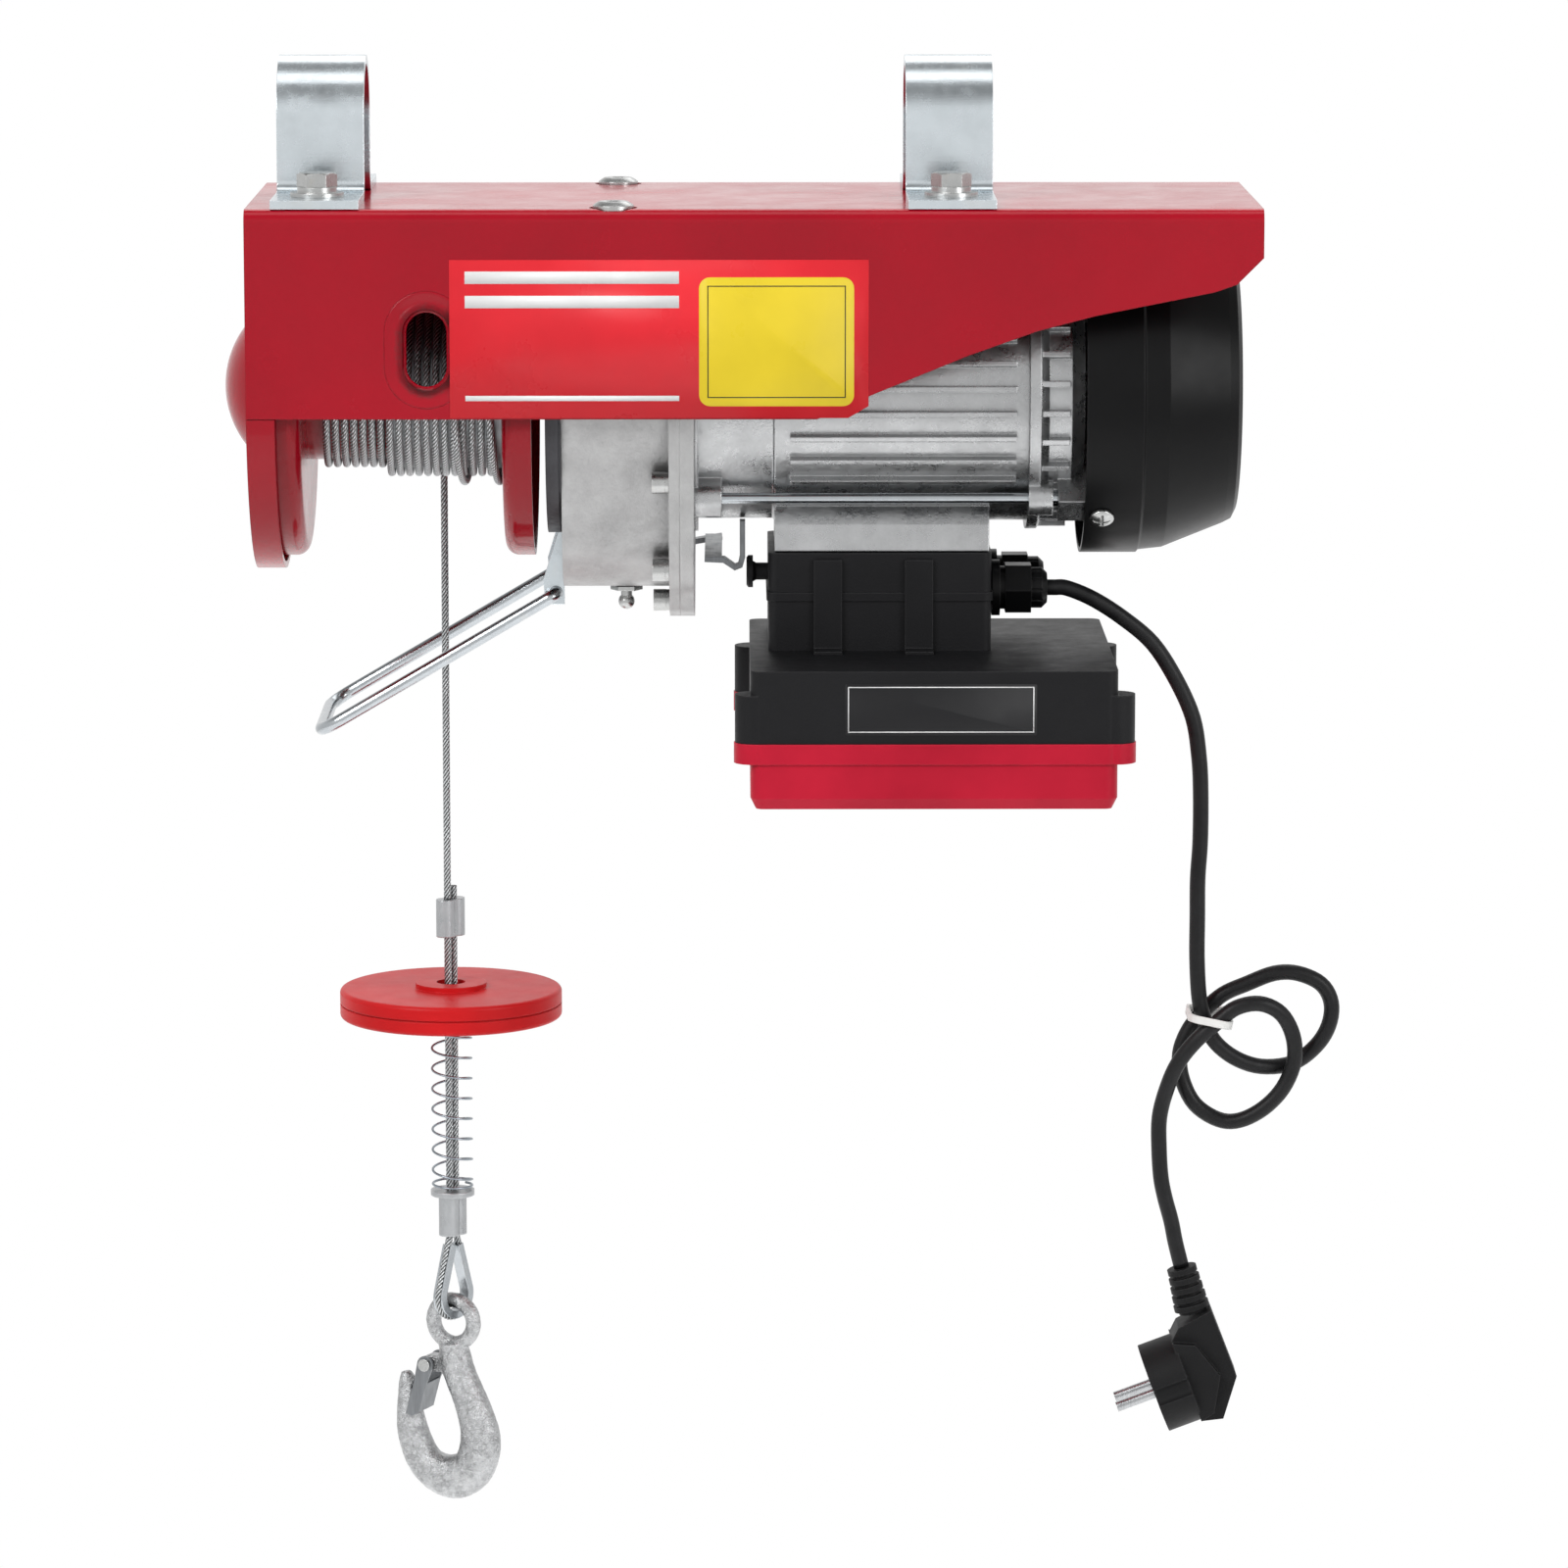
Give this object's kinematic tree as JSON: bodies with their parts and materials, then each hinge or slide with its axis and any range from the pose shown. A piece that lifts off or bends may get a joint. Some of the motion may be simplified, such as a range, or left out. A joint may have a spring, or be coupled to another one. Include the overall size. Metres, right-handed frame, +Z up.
{
  "type": "electric wire rope hoist",
  "caption": "Compact electric wire-rope hoist that clamps under a pipe, with rimmed drum, gearbox, ribbed motor, limit bail, switch box, receiver box, hook block and mains cord.",
  "frame": {"origin": "on the axis of the pipe that the straps clamp, midway between the two straps", "axes": "+X along the hoist towards the motor, +Y away from the side with the plunger, +Z up"},
  "size_m": [0.5206, 0.2087, 0.6983],
  "materials": {
    "red_paint": "gloss red powder coat",
    "zinc_plate": "bright zinc plate, slightly bluish",
    "cast_aluminium": "matt die-cast aluminium",
    "dark_iron": "dark oiled iron",
    "bearing_steel": "ground steel",
    "copper_winding": "varnished copper",
    "black_plastic": "black moulded plastic",
    "red_plastic": "red moulded plastic",
    "bright_red_plastic": "bright red moulded plastic",
    "white_plastic": "white plastic",
    "circuit_board": "green circuit board",
    "clear_dome": "milky dome",
    "cord_rubber": "black flexible cord jacket",
    "wire_rope": "galvanised wire rope, greased",
    "soft_aluminium": "pressed aluminium sleeve",
    "galvanised_steel": "hot-dip galvanised forging"
  },
  "bodies": {
    "frame": {"frame_channel": "red_paint", "end_plate": "red_paint", "bearing_cap": "red_paint", "strap_left": "zinc_plate", "strap_right": "zinc_plate", "strap_bolts": "zinc_plate", "strap_washers": "zinc_plate", "gearbox_mount_screws": "zinc_plate", "gearbox_case": "cast_aluminium", "gearbox_collar": "dark_iron", "gearbox_cover": "cast_aluminium", "case_screws": "zinc_plate", "grease_nipple": "zinc_plate", "drum_bearings": "bearing_steel", "layshaft_bearings": "bearing_steel", "motor_bearings": "bearing_steel", "motor_housing": "cast_aluminium", "motor_end_shield": "cast_aluminium", "stator": "copper_winding", "tie_rods": "zinc_plate", "fan_cover": "black_plastic", "fan_cover_screws": "zinc_plate", "switch_box_base": "black_plastic", "switch_box_cover": "black_plastic", "capacitor": "white_plastic", "power_gland": "black_plastic", "spare_gland": "black_plastic", "receiver_clips": "black_plastic", "receiver_cover": "black_plastic", "receiver_base": "red_plastic", "receiver_screws": "zinc_plate", "receiver_board": "circuit_board", "indicator_dome": "clear_dome", "bail_bracket": "zinc_plate", "power_cord": "cord_rubber", "cord_tie": "white_plastic", "plug_relief": "cord_rubber", "plug_body": "cord_rubber", "plug_pins": "bearing_steel"},
    "drum": {"drum": "dark_iron", "drum_shaft": "bearing_steel", "drum_gear": "bearing_steel", "rope_core": "wire_rope", "rope_winding": "wire_rope"},
    "layshaft": {"layshaft": "bearing_steel"},
    "rotor": {"rotor": "bearing_steel", "cooling_fan": "black_plastic"},
    "hook_block": {"rope_fall": "wire_rope", "rope_loop": "wire_rope", "ferrule_upper": "soft_aluminium", "ferrule_lower": "soft_aluminium", "buffer_spring": "zinc_plate", "thimble": "zinc_plate"},
    "limit_disc": {"limit_disc": "bright_red_plastic"},
    "hook": {"hook": "galvanised_steel", "latch_pin": "zinc_plate"},
    "latch": {"latch": "zinc_plate"},
    "limit_lever": {"limit_bail": "zinc_plate", "trip_arm": "zinc_plate"},
    "plunger": {"limit_plunger": "black_plastic"}
  },
  "joints": [
    {"name": "drum_spin", "type": "hinge", "parent": "frame", "child": "drum", "pos_m": [-0.106, 0, -0.124], "axis": [1, 0, 0], "range_deg": [-315, 158]},
    {"name": "layshaft_spin", "type": "hinge", "parent": "frame", "child": "layshaft", "pos_m": [-0.007, 0, -0.1705], "axis": [1, 0, 0], "range_deg": [-734, 1462]},
    {"name": "rotor_spin", "type": "hinge", "parent": "frame", "child": "rotor", "pos_m": [0.12, 0, -0.124], "axis": [1, 0, 0], "range_deg": [-6777, 3402]},
    {"name": "hook_lift", "type": "slide", "parent": "frame", "child": "hook_block", "axis": [0, 0, 1], "range_m": [-0.248, 0.125], "deforming": ["rope_fall"]},
    {"name": "disc_slide", "type": "slide", "parent": "hook_block", "child": "limit_disc", "axis": [0, 0, 1], "range_m": [-0.04, 0], "stiffness_N_per_m": 300, "springref_m": 0.008, "deforming": ["buffer_spring"]},
    {"name": "hook_swing", "type": "hinge", "parent": "hook_block", "child": "hook", "pos_m": [-0.09035, 0.04666, -0.579], "axis": [0.6428, 0.766, 0], "range_deg": [-25, 25]},
    {"name": "latch_pivot", "type": "hinge", "parent": "hook", "child": "latch", "pos_m": [-0.10104, 0.05165, -0.6032], "axis": [0.4226, 0.9063, 0], "range_deg": [-32, 0], "stiffness_Nm_per_rad": 0.02, "springref_deg": 17.19},
    {"name": "lever_trip", "type": "hinge", "parent": "frame", "child": "limit_lever", "pos_m": [-0.038, 0.04666, -0.222], "axis": [0, 1, 0], "range_deg": [0, 8], "stiffness_Nm_per_rad": 0.4, "springref_deg": -5.73},
    {"name": "plunger_slide", "type": "slide", "parent": "frame", "child": "plunger", "axis": [1, 0, 0], "range_m": [0, 0.004], "stiffness_N_per_m": 60, "springref_m": -0.001}
  ],
  "couplings": [
    {"joint": "layshaft_spin", "follows": "drum_spin", "ratio": -4.6364},
    {"joint": "rotor_spin", "follows": "drum_spin", "ratio": 21.496},
    {"joint": "hook_lift", "follows": "drum_spin", "m_per_rad": 0.04505},
    {"joint": "plunger_slide", "follows": "lever_trip", "m_per_rad": 0.0286}
  ]
}
